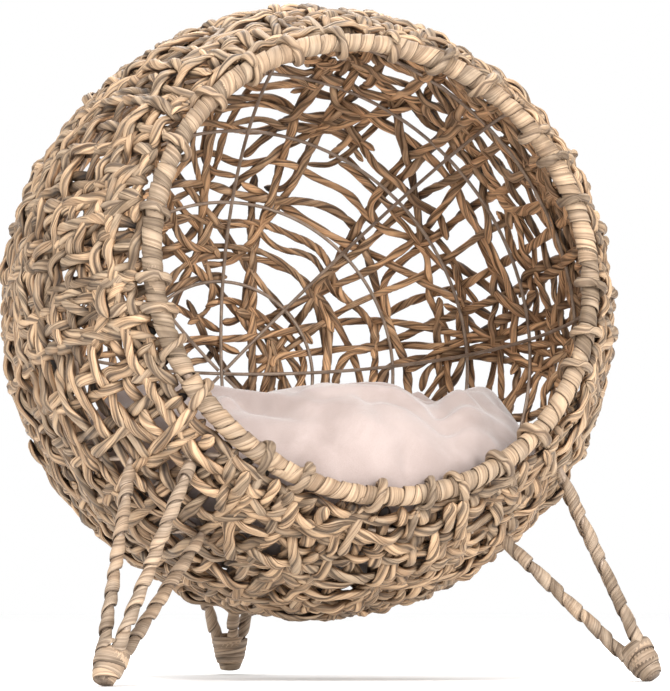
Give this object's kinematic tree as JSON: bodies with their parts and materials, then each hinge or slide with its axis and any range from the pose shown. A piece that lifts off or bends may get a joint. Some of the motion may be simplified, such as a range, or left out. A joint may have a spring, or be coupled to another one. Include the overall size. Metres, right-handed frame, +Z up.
{
  "type": "wicker pet bed basket",
  "caption": "Raised ball-shaped basket woven from twisted leaf cord over a wire cage, open at the front, on three bound legs, with a loose plush cushion.",
  "frame": {"origin": "floor level, under the middle of the object's bounding box", "axes": "+Z up, the opening looks towards -Y, +X is to the right of someone looking into the opening"},
  "size_m": [0.4998, 0.4419, 0.546],
  "materials": {
    "steel": "bare drawn wire, slightly dulled",
    "leaf": "twisted dried leaf, fibrous and satin",
    "leaf_inside": "twisted dried leaf, darker and browner",
    "plush": "short soft pile",
    "filling": "loose polyester fibre"
  },
  "bodies": {
    "basket": {"rim_rod": "steel", "rim_binding": "leaf", "cage_arch": "steel", "cage_rib_right": "steel", "cage_rib_left": "steel", "cage_rib_upper_right": "steel", "cage_rib_upper_left": "steel", "cage_rib_lower_left": "steel", "cage_rib_lower_right": "steel", "cage_hoop_1": "steel", "cage_hoop_2": "steel", "cage_hoop_3": "steel", "cage_hoop_4": "steel", "cage_hoop_5": "steel", "cage_hoop_6": "steel", "leg_hoop_upper": "steel", "leg_hoop_lower": "steel", "weave_outer": "leaf", "weave_inner": "leaf_inside", "front_left_leg_rod_front": "steel", "front_left_leg_rod_side": "steel", "front_left_leg_rod_lower": "steel", "front_right_leg_rod_front": "steel", "front_right_leg_rod_side": "steel", "front_right_leg_rod_lower": "steel", "rear_leg_rod_left": "steel", "rear_leg_rod_right": "steel", "rear_leg_rod_lower": "steel", "front_left_leg_binding_front": "leaf", "front_left_leg_binding_side": "leaf", "front_left_leg_binding_lower": "leaf", "front_right_leg_binding_front": "leaf", "front_right_leg_binding_side": "leaf", "front_right_leg_binding_lower": "leaf", "rear_leg_binding_left": "leaf", "rear_leg_binding_right": "leaf", "rear_leg_binding_lower": "leaf", "front_left_foot_binding": "leaf", "front_right_foot_binding": "leaf", "rear_foot_binding": "leaf"},
    "cushion": {"cushion_top_panel": "plush", "cushion_bottom_panel": "plush", "cushion_filling": "filling"}
  },
  "joints": [
    {"name": "cushion_lift", "type": "slide", "parent": "basket", "child": "cushion", "axis": [0, 0, 1], "range_m": [0, 0.09]}
  ]
}
